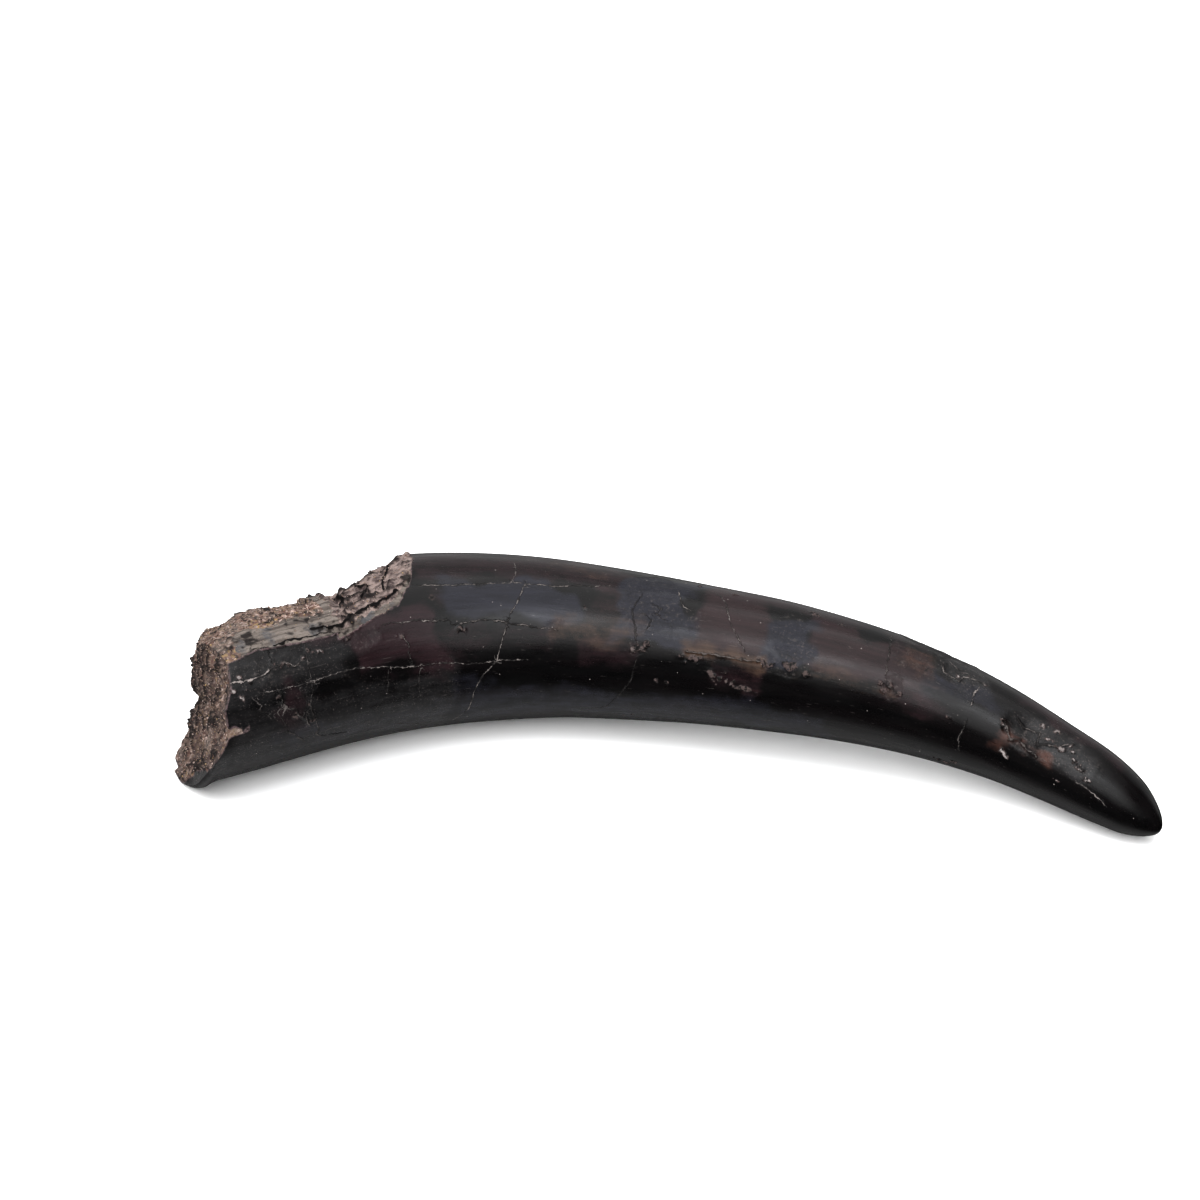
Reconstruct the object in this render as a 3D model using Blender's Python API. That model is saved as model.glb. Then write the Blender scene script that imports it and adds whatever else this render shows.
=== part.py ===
# Fossil deinothere tusk: one loose, broken piece that lies on its side.
# The root is at -X and the worn, blunt tip at +X, the hollow of the curve faces -Y, and +Z is up.
# The origin is under the middle of the piece, on the surface that it rests on.

import math

import bmesh
import bpy
import numpy as np
from mathutils import Vector, noise

# Driving dimensions, in millimetres and degrees
MM = 0.001
TUSK_LENGTH = 384.0
TIP_ROUND_LENGTH = 15.0
SECTION_WIDTH_RATIO = 1.03
SECTION_HEIGHT_RATIO = 0.98

# The axis: distance from the root, heading in plan, radius, gap between the underside and the surface below
AXIS_STATIONS = (
    (0, 35.0, 34.0, 0.0),
    (35, 36.0, 34.4, 0.0),
    (70, 31.0, 34.3, 0.0),
    (100, 19.0, 33.5, 0.0),
    (130, 7.0, 31.9, 0.8),
    (160, -4.0, 29.7, 3.0),
    (200, -8.0, 27.0, 6.5),
    (240, -10.0, 24.5, 9.0),
    (280, -13.0, 21.3, 9.5),
    (315, -19.5, 17.8, 7.0),
    (340, -26.0, 15.1, 4.2),
    (362, -29.5, 12.6, 2.0),
    (384, -38.0, 7.2, 0.8),
)

# The root's end face: angle round the section (0 faces -Y, 90 is up), and where the shaft starts there
ROOT_END = (
    (-75, -4.5),
    (-60, -3.0),
    (-19, 0.0),
    (0, 5.0),
    (17, 5.0),
    (31, 9.0),
    (46, 10.0),
    (90, 8.5),
    (120, 10.5),
    (150, 16.0),
    (170, 19.0),
    (180, 18.2),
    (190, 15.0),
    (208, 13.6),
    (218, 15.0),
    (226, 10.8),
    (240, 4.0),
    (255, -4.0),
    (270, -5.0),
)
ROOT_END_MIDDLE = 7.0
ROOT_END_BLEND = 60.0
# The face is dished, but its lower front edge is a flat foot: angle and how far the foot replaces the dish there
ROOT_FOOT = (
    (-90, 0),
    (-75, 1),
    (-45, 1),
    (-15, 0),
    (270, 0),
)
ROOT_FOOT_INNER_SHARE = 0.8

# The broken top of the root: distance from the root, angle of its front edge, depth at the crest,
# angle of its back edge
BREAK_STATIONS = (
    (-5, 44, 18.0, 178),
    (8, 45, 17.0, 178),
    (12, 46, 15.5, 178),
    (21, 49, 12.7, 178),
    (26, 48, 10.5, 178),
    (33, 47, 11.7, 178),
    (43, 46, 12.0, 178),
    (50, 46, 11.7, 178),
    (57, 48, 11.0, 178),
    (60, 49, 14.6, 177),
    (65, 52, 14.0, 177),
    (67, 53, 11.6, 176),
    (71, 55, 10.4, 175),
    (76, 58, 8.6, 172),
    (81, 61, 6.7, 168),
    (88, 75, 2.4, 150),
    (93, 100, 0.0, 130),
)
BREAK_CREST_ANGLE = 120.0
# Share of the crest's depth, from the front edge to the crest and from the crest to the back edge
BREAK_FRONT_PROFILE = ((0, 0), (0.11, 0.2), (0.31, 0.55), (0.59, 0.8), (0.86, 0.97), (1, 1))
BREAK_BACK_PROFILE = ((0, 1), (0.2, 1), (0.4, 0.95), (0.6, 0.8), (0.8, 0.5), (1, 0))

# Scars in the worn surface: distance from the root, angle, half length, half width, depth
SCARS = (
    (290, 118, 13.0, 6.0, 1.4),
    (331, 54, 9.0, 7.0, 1.6),
    (189, 66, 14.0, 9.0, 0.5),
    (240, 54, 9.0, 7.0, 0.5),
    (325, 49, 3.0, 3.0, 0.9),
    (62, 40, 8.0, 4.0, 0.8),
)

# Roughness: size of the lumps and their height
SHAFT_SWELL = (45.0, 0.35)
BREAK_LUMPS = ((10.0, 1.5), (5.0, 0.8))

# Mesh: spacing of the rings up to each distance along the tusk, columns round it, rings over the end face
RING_SPACING = ((54, 3.0), (69, 1.5), (96, 3.0), (280, 6.6), (345, 3.6), (384, 2.6))
COLUMNS = 42
END_FACE_RINGS = 9


def smooth_through(xs, ys, x):
    # A cubic through the stations, its slope at each one taken from both neighbours
    xs = np.asarray(xs, float)
    ys = np.asarray(ys, float)
    gap = np.diff(xs)
    rise = np.diff(ys) / gap
    slope = np.concatenate([rise[:1], np.zeros(len(gap) - 1), rise[-1:]])
    slope[1:-1] = (rise[:-1] * gap[1:] + rise[1:] * gap[:-1]) / (gap[:-1] + gap[1:])
    i = np.clip(np.searchsorted(xs, x) - 1, 0, len(gap) - 1)
    t = (x - xs[i]) / gap[i]
    start = (1 + 2 * t) * (1 - t) ** 2 * ys[i] + t * (1 - t) ** 2 * gap[i] * slope[i]
    end = t * t * (3 - 2 * t) * ys[i + 1] + t * t * (t - 1) * gap[i] * slope[i + 1]
    return start + end


def column(table, index):
    return [row[index] for row in table]


def axis_at(along):
    # The axis is walked in short steps, each in the direction of its heading
    walk = np.arange(-6.0, TUSK_LENGTH + 2.0)
    heading = np.radians(smooth_through(column(AXIS_STATIONS, 0), column(AXIS_STATIONS, 1), walk))
    middle = (heading[1:] + heading[:-1]) / 2
    x = np.concatenate([[0], np.cumsum(np.cos(middle))])
    y = np.concatenate([[0], np.cumsum(np.sin(middle))])
    return np.interp(along, walk, x), np.interp(along, walk, y), np.interp(along, walk, heading)


def shaft_radius(along):
    radius = smooth_through(column(AXIS_STATIONS, 0), column(AXIS_STATIONS, 2), along)
    into_tip = np.clip((along - TUSK_LENGTH + TIP_ROUND_LENGTH) / TIP_ROUND_LENGTH, 0, 1)
    return radius * np.sqrt(1 - into_tip**2)


def axis_height(along):
    radius = smooth_through(column(AXIS_STATIONS, 0), column(AXIS_STATIONS, 2), along)
    gap = smooth_through(column(AXIS_STATIONS, 0), column(AXIS_STATIONS, 3), along)
    return gap + radius * SECTION_HEIGHT_RATIO


def break_share(along, angle):
    # 0 on the worn surface, 1 along the crest of the broken top
    places = column(BREAK_STATIONS, 0)
    front_edge = np.interp(along, places, column(BREAK_STATIONS, 1))
    back_edge = np.interp(along, places, column(BREAK_STATIONS, 3))
    front = (angle - front_edge) / (BREAK_CREST_ANGLE - front_edge)
    back = (angle - BREAK_CREST_ANGLE) / (back_edge - BREAK_CREST_ANGLE)
    front_share = np.interp(front, column(BREAK_FRONT_PROFILE, 0), column(BREAK_FRONT_PROFILE, 1))
    back_share = np.interp(back, column(BREAK_BACK_PROFILE, 0), column(BREAK_BACK_PROFILE, 1))
    share = np.where(angle < BREAK_CREST_ANGLE, front_share, back_share)
    return np.where(along < places[-1], share, 0)


def scar_depth(along, angle, radius):
    depth = np.zeros(len(along))
    for place, turn, half_length, half_width, deepest in SCARS:
        across = np.radians((angle - turn + 180) % 360 - 180) * radius
        reach = ((along - place) / half_length) ** 2 + (across / half_width) ** 2
        depth += deepest * np.clip(1 - reach, 0, 1)
    return depth


def lumps(points, size):
    return np.array([noise.noise(Vector(point) / size) for point in points])


def place(along, angle, radius):
    x, y, heading = axis_at(along)
    turn = np.radians(angle)
    sideways = SECTION_WIDTH_RATIO * radius * np.cos(turn)
    height = axis_height(along) + SECTION_HEIGHT_RATIO * radius * np.sin(turn)
    return np.stack([x + sideways * np.sin(heading), y - sideways * np.cos(heading), height], axis=1)


def surface(along, angle, share_of_radius):
    # Points of the skin, or of the end face where share_of_radius is under 1
    radius = shaft_radius(along)
    broken = break_share(along, angle)
    crest_depth = np.interp(along, column(BREAK_STATIONS, 0), column(BREAK_STATIONS, 2))
    radius = radius - broken * crest_depth - scar_depth(along, angle, radius)
    plain = place(along, angle, radius * share_of_radius)
    swell_size, swell_height = SHAFT_SWELL
    change = swell_height * lumps(plain, swell_size)
    rough = np.clip(broken / 0.35, 0, 1) * share_of_radius
    for size, height in BREAK_LUMPS:
        change = change + rough * height * lumps(plain, size)
    in_tip = np.clip((TUSK_LENGTH - along) / TIP_ROUND_LENGTH, 0, 1)
    return place(along, angle, (radius + change * in_tip) * share_of_radius)


def root_start(angle):
    return np.interp((angle + 75) % 360 - 75, column(ROOT_END, 0), column(ROOT_END, 1), period=360)


def end_face_rise(angle, share):
    # 0 at the middle of the end face and 1 at its rim, or already at the inner edge of the foot
    dish = share**1.5
    flat = min(share / ROOT_FOOT_INNER_SHARE, 1) ** 1.5
    return dish + (flat - dish) * np.interp(angle, column(ROOT_FOOT, 0), column(ROOT_FOOT, 1))


def end_face_rings(angle):
    # From just outside the middle of the end face to its rim, with bumps that fade at the rim
    rings = []
    for share in np.arange(1, END_FACE_RINGS) / END_FACE_RINGS:
        along = ROOT_END_MIDDLE + (root_start(angle) - ROOT_END_MIDDLE) * end_face_rise(angle, share)
        bumps = np.zeros(len(angle))
        for size, height in BREAK_LUMPS:
            bumps += height * lumps(place(along, angle, share * shaft_radius(along)), size)
        rings.append(surface(along + bumps * (1 - share**4), angle, np.full(len(angle), share)))
    return rings


def shaft_rings(angle):
    # The first ring follows the broken rim, and the next ones ease back to square sections
    places = [0.0]
    for limit, spacing in RING_SPACING:
        count = round((limit - places[-1]) / spacing)
        places.extend(np.linspace(places[-1], limit, count + 1)[1:])
    rings = []
    for along in places[:-1]:
        ease = max(0.0, 1 - along / ROOT_END_BLEND)
        skewed = np.full(len(angle), along) + ease * root_start(angle)
        rings.append(surface(skewed, angle, np.ones(len(angle))))
    return rings


def tusk_mesh():
    angle = np.arange(COLUMNS) * 360 / COLUMNS - 90
    rings = end_face_rings(angle) + shaft_rings(angle)
    middle = surface(np.array([ROOT_END_MIDDLE]), np.zeros(1), np.zeros(1))[0]
    tip = surface(np.array([TUSK_LENGTH]), np.zeros(1), np.zeros(1))[0]
    points = np.concatenate(rings + [[middle, tip]])
    low = points.min(axis=0)
    high = points.max(axis=0)
    origin = np.array([(low[0] + high[0]) / 2, (low[1] + high[1]) / 2, low[2]])
    shape = bmesh.new()
    verts = [shape.verts.new(Vector(point) * MM) for point in points - origin]
    last = len(verts) - 1
    for ring in range(len(rings) - 1):
        for i in range(COLUMNS):
            a = ring * COLUMNS + i
            b = ring * COLUMNS + (i + 1) % COLUMNS
            shape.faces.new((verts[a], verts[b], verts[b + COLUMNS], verts[a + COLUMNS]))
    for i in range(COLUMNS):
        j = (i + 1) % COLUMNS
        shape.faces.new((verts[last - 1], verts[j], verts[i]))
        shape.faces.new((verts[last], verts[last - 1 - COLUMNS + i], verts[last - 1 - COLUMNS + j]))
    bmesh.ops.triangulate(shape, faces=shape.faces[:])
    bmesh.ops.recalc_face_normals(shape, faces=shape.faces[:])
    mesh = bpy.data.meshes.new("tusk")
    shape.to_mesh(mesh)
    shape.free()
    return mesh


def fossil_ivory():
    material = bpy.data.materials.new("fossil_ivory")
    material.use_nodes = True
    shader = material.node_tree.nodes["Principled BSDF"]
    shader.inputs["Base Color"].default_value = (0.045, 0.032, 0.03, 1)
    shader.inputs["Roughness"].default_value = 0.3
    shader.inputs["Metallic"].default_value = 0
    return material


for old in list(bpy.data.objects):
    bpy.data.objects.remove(old)
tusk = bpy.data.objects.new("tusk", tusk_mesh())
bpy.context.scene.collection.objects.link(tusk)
tusk.data.materials.append(fossil_ivory())
tusk.data.shade_smooth()
tusk.data.set_sharp_from_angle(angle=math.radians(50))
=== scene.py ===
import math
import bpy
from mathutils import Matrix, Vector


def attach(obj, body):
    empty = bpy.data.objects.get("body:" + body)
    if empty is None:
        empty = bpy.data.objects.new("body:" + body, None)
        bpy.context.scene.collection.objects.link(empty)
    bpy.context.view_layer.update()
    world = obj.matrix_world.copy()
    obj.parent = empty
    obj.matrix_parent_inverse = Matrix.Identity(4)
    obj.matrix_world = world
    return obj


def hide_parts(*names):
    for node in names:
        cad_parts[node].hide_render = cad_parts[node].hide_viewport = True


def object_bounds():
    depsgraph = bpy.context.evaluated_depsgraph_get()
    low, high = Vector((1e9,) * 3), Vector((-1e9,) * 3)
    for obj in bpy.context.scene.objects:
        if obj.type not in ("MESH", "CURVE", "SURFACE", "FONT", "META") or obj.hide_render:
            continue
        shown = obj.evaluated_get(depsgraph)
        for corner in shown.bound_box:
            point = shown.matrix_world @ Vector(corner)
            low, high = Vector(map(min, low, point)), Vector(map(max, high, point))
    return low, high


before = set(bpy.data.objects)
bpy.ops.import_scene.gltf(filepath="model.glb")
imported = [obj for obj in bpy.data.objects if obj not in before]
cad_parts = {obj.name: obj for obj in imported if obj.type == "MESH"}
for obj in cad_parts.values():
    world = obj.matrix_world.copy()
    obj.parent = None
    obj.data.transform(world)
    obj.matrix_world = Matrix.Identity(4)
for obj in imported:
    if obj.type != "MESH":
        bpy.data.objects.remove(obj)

from types import SimpleNamespace

import bpy
import numpy as np
from mathutils import Vector, noise

cadLow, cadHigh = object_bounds()
mm = 0.001
# the broken blocks come out the same each time
noise.seed_set(5)

# Fossil tusk on its side: root at -X, tip at +X, hollow of the curve towards -Y.
# Places on it are given as (mm from the root along the curve, degrees round the section),
# with 0 degrees facing -Y and 90 degrees up.
tusk = {
    "length": 384.0,
    "tipRound": 15.0,
    "sectionWidth": 1.03,
    "sectionHeight": 0.98,
    # mm from the root, heading in plan, radius, gap under the shaft
    "axis": [(0, 35.0, 34.0, 0.0), (35, 36.0, 34.4, 0.0), (70, 31.0, 34.3, 0.0), (100, 19.0, 33.5, 0.0),
             (130, 7.0, 31.9, 0.8), (160, -4.0, 29.7, 3.0), (200, -8.0, 27.0, 6.5), (240, -10.0, 24.5, 9.0),
             (280, -13.0, 21.3, 9.5), (315, -19.5, 17.8, 7.0), (340, -26.0, 15.1, 4.2),
             (362, -29.5, 12.6, 2.0), (384, -38.0, 7.2, 0.8)],
    "rootRadius": 34.0,
    # where the shaft starts at each angle round the broken end
    "rootEnd": [(-75, -4.5), (-60, -3.0), (-19, 0.0), (0, 5.0), (17, 5.0), (31, 9.0), (46, 10.0), (90, 8.5),
                (120, 10.5), (150, 16.0), (170, 19.0), (180, 18.2), (190, 15.0), (208, 13.6), (218, 15.0),
                (226, 10.8), (240, 4.0), (255, -4.0), (270, -5.0)],
    "rootMiddle": 7.0,
    # the end face is dished, but its lower front edge is a flat foot
    "rootFoot": [(-90, 0), (-75, 1), (-45, 1), (-15, 0), (270, 0)],
    "footInner": 0.8,
    "rootBlend": 60.0,
    # mm from the root, front edge of the break, depth at its crest, back edge
    "breakTop": [(-5, 44, 18.0, 178), (8, 45, 17.0, 178), (12, 46, 15.5, 178), (21, 49, 12.7, 178),
                 (26, 48, 10.5, 178), (33, 47, 11.7, 178), (43, 46, 12.0, 178), (50, 46, 11.7, 178),
                 (57, 48.5, 11.0, 178), (60, 50.5, 14.6, 177), (65, 54, 14.0, 177), (67, 55, 11.6, 176),
                 (71, 57, 10.4, 175), (76, 59.5, 8.6, 172), (81, 62, 6.7, 168), (88, 75, 2.4, 150),
                 (93, 100, 0.0, 130)],
    "crest": 120.0,
    "breakFront": [(0, 0), (0.11, 0.2), (0.31, 0.55), (0.59, 0.8), (0.86, 0.97), (1, 1)],
    "breakBack": [(0, 1), (0.2, 1), (0.4, 0.95), (0.6, 0.8), (0.8, 0.5), (1, 0)],
    # mm from the root, angle, half length, half width, depth
    "scars": [(290, 118, 13.0, 6.0, 1.4), (331, 54, 9.0, 7.0, 1.6), (189, 66, 14.0, 9.0, 0.5),
              (240, 54, 9.0, 7.0, 0.5), (325, 49, 3.0, 3.0, 0.9), (62, 40, 8.0, 4.0, 0.4)],
    "swell": (45.0, 0.35),
    "breakLumps": [(10.0, 1.5), (5.0, 0.8)],
}

# Cracks in the polished skin: points (mm from the root, degrees round), width and depth in mm,
# pale filling (0 to 1)
cracks = [
    ([(19, 23), (30, 21), (46, 22), (56, 23), (66, 20), (83, 16), (96, 16), (115, 14), (127, 17),
      (137, 17)], 0.24, 0.25, 0.65),
    ([(8, 33), (12, 32), (15, 31), (21, 33), (24, 35)], 0.38, 0.4, 0.9),
    ([(26, 35), (29, 37), (33, 33), (36, 35)], 0.35, 0.3, 0.8),
    ([(72, 45), (76, 46), (81, 45), (92, 44), (101, 44)], 0.34, 0.4, 0.6),
    ([(104, 41), (112, 42), (120, 44), (128, 41), (139, 40), (150, 39)], 0.28, 0.25, 0.4),
    ([(87, 71), (98, 70), (110, 69), (130, 72), (146, 72), (155, 75), (168, 80)], 0.28, 0.2, 0.5),
    ([(130, 93), (131, 84), (130, 74)], 0.22, 0.15, 0.5),
    ([(135, 73), (133, 59), (129, 46), (125, 24), (123, 15), (116, 5), (112, -6), (109, -23),
      (102, -36)], 0.26, 0.25, 0.5),
    ([(80, 36), (82, 31), (81, 26), (82, 19)], 0.26, 0.2, 0.5),
    ([(86, 15), (84, 6), (85, -6)], 0.24, 0.2, 0.35),
    ([(70, 18), (69, 5)], 0.22, 0.15, 0.25),
    ([(39, 43), (38, 31), (38, 16), (36, 7), (38, -6)], 0.24, 0.2, 0.3),
    ([(33, 18), (35, 9), (33, 0)], 0.22, 0.2, 0.2),
    ([(25, 21), (26, 15), (25, 11), (28, 8), (30, 7), (31, 2), (34, -1), (35, -8)], 0.42, 0.5, 0.30),
    ([(26, 12), (23, 7), (26, -1), (27, -9), (33, -21)], 0.32, 0.4, 0.30),
    ([(24, 14), (27, 10), (25, 5)], 0.42, 0.5, 0.35),
    ([(16, 21), (18, 15), (17, 12), (20, 6)], 0.34, 0.4, 0.30),
    ([(38, -7), (39, -14), (38, -17), (40, -21)], 0.30, 0.4, 0.25),
    ([(40, -21), (44, -22), (50, -24)], 0.30, 0.5, 0.0),
    ([(25, 47), (25, 43), (25, 39)], 0.35, 0.6, 0.0),
    ([(167, -27), (172, -24), (175, -16), (179, -6), (183, 8), (184, 21)], 0.28, 0.25, 0.15),
    ([(181, 77), (180, 68), (179, 60), (180, 53), (182, 44), (183, 37)], 0.28, 0.35, 0.1),
    ([(186, 70), (190, 66), (188, 60), (192, 57)], 0.22, 0.25, 0.1),
    ([(184, 58), (187, 54), (186, 48)], 0.22, 0.25, 0.1),
    ([(194, 86), (196, 80), (197, 74), (200, 70)], 0.3, 0.3, 0.6),
    ([(208, 94), (213, 83), (215, 72), (217, 62), (221, 50), (224, 42)], 0.25, 0.2, 0.5),
    ([(203, 34), (214, 35), (222, 34), (230, 34)], 0.45, 0.35, 0.3),
    ([(73, -28), (80, -32), (88, -34)], 0.25, 0.2, 0.2),
    ([(274, 99), (275, 84), (276, 67), (277, 52), (278, 39), (283, 35)], 0.26, 0.2, 0.35),
    ([(294, 89), (297, 76), (303, 73), (304, 83), (311, 88)], 0.4, 0.3, 0.5),
    ([(294, 100), (301, 88), (306, 91)], 0.3, 0.25, 0.4),
    ([(310, 76), (309, 66), (310, 56)], 0.3, 0.25, 0.8),
    ([(309, -4), (308, 10), (309, 23), (310, 33)], 0.25, 0.2, 0.3),
    ([(353, 27), (359, 26), (363, 22), (366, 17)], 0.3, 0.25, 0.6),
    ([(326, 66), (330, 60), (336, 64), (337, 46), (340, 54), (344, 59), (348, 76)], 0.4, 0.35, 0.4),
    ([(324, 49), (327, 36), (330, 41), (334, 35), (338, 33)], 0.6, 0.5, 0.35),
    ([(60, 200), (84, 204), (112, 199), (150, 203), (188, 198)], 0.35, 0.3, 0.4),
    ([(108, 150), (106, 172), (110, 196), (107, 228)], 0.35, 0.3, 0.3),
    ([(170, 140), (174, 164), (171, 190), (175, 222)], 0.35, 0.3, 0.2),
    ([(206, 176), (232, 180), (262, 174), (292, 178)], 0.35, 0.3, 0.5),
    ([(30, 226), (62, 232), (98, 228), (130, 236)], 0.45, 0.35, 0.1),
    ([(240, 128), (243, 150), (239, 176)], 0.3, 0.25, 0.4),
    ([(300, 160), (304, 186), (301, 214)], 0.3, 0.25, 0.4),
    ([(330, 140), (342, 150), (356, 146)], 0.35, 0.3, 0.5),
]

# Open gaps in the broken top, under the rock and along the strip's edge: points, width, depth
gaps = [
    ([(44, 53), (50, 50), (56, 51.5), (61, 54), (66, 57.5), (72, 60), (78, 63), (82, 66)], 0.75, 1.6),
    ([(20, 50), (28, 49), (36, 48.5), (46, 47.5), (54, 47)], 0.35, 0.5),
    ([(60, 70), (63, 80), (61, 92), (65, 104)], 0.7, 1.4),
    ([(69, 72), (73, 84), (71, 98)], 0.5, 1.0),
    ([(78, 74), (80, 90), (84, 104)], 0.5, 0.9),
]

# Small chips: place, angle, radius in mm, depth in mm, how pale the floor is
chips = [
    (9, 28, 1.6, 0.6, 1.0), (11, 23, 1.1, 0.5, 0.9), (29, 36, 1.6, 0.5, 0.7), (33, 33, 1.0, 0.4, 0.7),
    (40, 39, 0.9, 0.3, 0.7), (107, 38, 1.2, 0.7, 0.7), (184, 31, 2.4, 0.8, 0.7), (187, 36, 1.3, 0.5, 0.5),
    (192, 8, 0.8, 0.4, 0.6), (196, 7, 0.8, 0.4, 0.6), (205, 29, 2.2, 0.7, 0.5), (209, 31, 1.2, 0.4, 0.5),
    (216, 16, 1.8, 0.6, 0.6), (219, 13, 1.6, 0.5, 0.7), (224, 10, 1.3, 0.4, 0.6), (228, 9, 0.9, 0.4, 0.6),
    (233, 34, 2.0, 0.6, 0.4), (241, 36, 1.8, 0.5, 0.3), (248, 31, 1.4, 0.5, 0.4), (278, 38, 2.0, 0.7, 0.6),
    (283, 35, 1.2, 0.5, 0.6), (303, 30, 0.9, 0.4, 0.6), (301, -32, 1.8, 0.6, 0.6), (307, -28, 0.9, 0.4, 0.7),
    (324, 50, 1.7, 0.7, 0.8), (326, 17, 1.2, 0.5, 1.0), (327, 14, 0.8, 0.4, 1.0), (353, 50, 1.5, 0.5, 1.0),
    (351, 53, 0.8, 0.4, 0.9), (358, 38, 0.8, 0.4, 1.0), (347, 15, 0.7, 0.3, 0.9), (348, 93, 0.7, 0.3, 0.9),
    (341, 80, 1.0, 0.5, 0.8), (336, 75, 0.7, 0.3, 0.8), (345, 58, 1.2, 0.5, 0.8), (347, 70, 0.9, 0.4, 0.9),
    (340, 62, 0.8, 0.4, 0.9), (349, 63, 0.6, 0.3, 0.9), (305, 85, 0.6, 0.3, 0.9), (309, 80, 0.6, 0.3, 0.9),
    (302, 79, 0.5, 0.3, 0.9), (311, 86, 0.6, 0.3, 0.9), (212, 100, 1.3, 0.5, 0.5), (200, 104, 0.8, 0.3, 0.6),
    (118, 84, 0.5, 0.25, 0.8), (60, 8, 0.6, 0.3, 0.8), (96, 60, 0.6, 0.3, 0.3), (161, 58, 0.7, 0.3, 0.3),
    (179, -37, 1.0, 0.4, 0.8), (182, -33, 0.8, 0.4, 0.7), (262, 66, 0.7, 0.3, 0.4), (56, 41, 1.0, 0.4, 0.4),
    (79, 36, 0.8, 0.3, 0.4), (77, 37, 0.6, 0.3, 0.5), (245, 96, 1.4, 0.5, 0.4), (256, 92, 1.0, 0.4, 0.5),
    (14, 27, 0.7, 0.3, 1.0), (16, 30, 0.6, 0.3, 1.0), (12, 35, 0.7, 0.3, 1.0), (37, 37, 0.6, 0.3, 0.9),
    (44, 38, 0.7, 0.3, 0.9), (47, 29, 0.5, 0.3, 0.8), (36, 8, 0.9, 0.4, 0.3), (30, 3, 1.1, 0.4, 0.3),
    (36, -5, 1.0, 0.4, 0.3), (24, 17, 0.9, 0.4, 0.4),
]

# Rough places too shallow for the solid: place, angle, half length, half width, depth
roughSpots = [
    (286, 82, 9.0, 9.0, 0.5), (302, 84, 9.0, 6.0, 0.35), (344, 62, 13.0, 7.0, 0.4), (183, 92, 8.0, 9.0, 0.3),
    (238, 74, 6.0, 6.0, 0.4), (243, 34, 9.0, 3.5, 0.5), (184, 32, 4.0, 3.0, 0.5), (281, 42, 4.0, 5.0, 0.4),
    (333, 40, 8.0, 4.5, 0.7), (22, 34, 15.0, 6.0, 0.15), (150, 42, 4.0, 2.5, 0.4), (30, 35, 7.0, 3.0, 0.3),
    (150, 205, 12.0, 8.0, 0.4), (260, 160, 12.0, 7.0, 0.4),
]

# Colour under the polish, as blocks: from and to in mm, from and to in degrees, strength
stains = {
    "maroon": [(58, 97, 19, 54, 0.9), (68, 95, 6, 20, 0.55), (26, 33, 8, 33, 0.6), (24, 33, -8, 6, 0.5),
               (161, 184, 14, 35, 0.5), (90, 178, 72, 112, 0.55), (214, 232, 5, 28, 0.5),
               (276, 306, 20, 40, 0.5), (40, 58, 38, 47, 0.5), (324, 366, 84, 125, 0.6),
               (204, 290, 88, 120, 0.5), (96, 150, 20, 44, 0.35), (90, 175, 140, 190, 0.6),
               (215, 300, 150, 205, 0.55), (30, 70, 190, 240, 0.5)],
    # the ochre blocks between 29 and 56 degrees lie along the lower edge of the highlight: partly a warm
    # stain, partly painted highlight
    "ochre": [(150, 180, 34, 47, 0.45), (168, 184, 40, 56, 0.35), (204, 230, 32, 36, 0.8),
              (145, 166, 86, 106, 0.35), (246, 282, 29, 35, 0.45), (280, 294, 62, 96, 0.4),
              (290, 300, 48, 60, 0.3), (100, 140, 165, 182, 0.4), (240, 262, 190, 214, 0.4)],
    "rust": [(323, 334, 30, 52, 0.9), (332, 342, 34, 45, 0.8), (280, 292, 70, 94, 0.3),
             (222, 231, 6, 17, 0.15)],
    "brown": [(203, 233, 38, 104, 0.8), (246, 290, 40, 92, 0.75), (96, 106, 48, 70, 0.5),
              (160, 178, 44, 84, 0.4), (180, 240, 140, 176, 0.6), (300, 345, 150, 200, 0.6)],
    "blue": [(99, 160, 46, 74, 1.0), (176, 202, 40, 106, 1.0), (231, 246, 38, 82, 1.0),
             (292, 322, 50, 76, 0.6), (105, 260, -40, 0, 0.5), (20, 110, -40, -6, 0.35),
             (130, 175, 120, 160, 0.5), (50, 120, 230, 262, 0.5)],
    "grey": [(296, 312, 62, 104, 0.7), (330, 358, 40, 84, 0.9), (5, 56, 14, 46, 0.6),
             (5, 100, -60, 14, 0.55), (-6, 5, -95, -15, 0.8), (308, 330, 140, 170, 0.5)],
}


def column(table, index):
    return [row[index] for row in table]


def smoothThrough(xs, ys, x):
    # cubic through the stations, each slope taken from both neighbours
    xs = np.asarray(xs, float)
    ys = np.asarray(ys, float)
    gap = np.diff(xs)
    rise = np.diff(ys) / gap
    slope = np.concatenate([rise[:1], np.zeros(len(gap) - 1), rise[-1:]])
    slope[1:-1] = (rise[:-1] * gap[1:] + rise[1:] * gap[:-1]) / (gap[:-1] + gap[1:])
    i = np.clip(np.searchsorted(xs, x) - 1, 0, len(gap) - 1)
    t = (x - xs[i]) / gap[i]
    start = (1 + 2 * t) * (1 - t) ** 2 * ys[i] + t * (1 - t) ** 2 * gap[i] * slope[i]
    end = t * t * (3 - 2 * t) * ys[i + 1] + t * t * (t - 1) * gap[i] * slope[i + 1]
    return start + end


def smoothStep(low, high, x):
    t = np.clip((x - low) / (high - low), 0, 1)
    return t * t * (3 - 2 * t)


def alongAxis(index, along):
    return smoothThrough(column(tusk["axis"], 0), column(tusk["axis"], index), along)


walk = np.arange(-6.0, tusk["length"] + 2.0)
walkHeading = np.radians(alongAxis(1, walk))
walkStep = (walkHeading[1:] + walkHeading[:-1]) / 2
walkX = np.concatenate([[0], np.cumsum(np.cos(walkStep))])
walkY = np.concatenate([[0], np.cumsum(np.sin(walkStep))])


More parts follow.
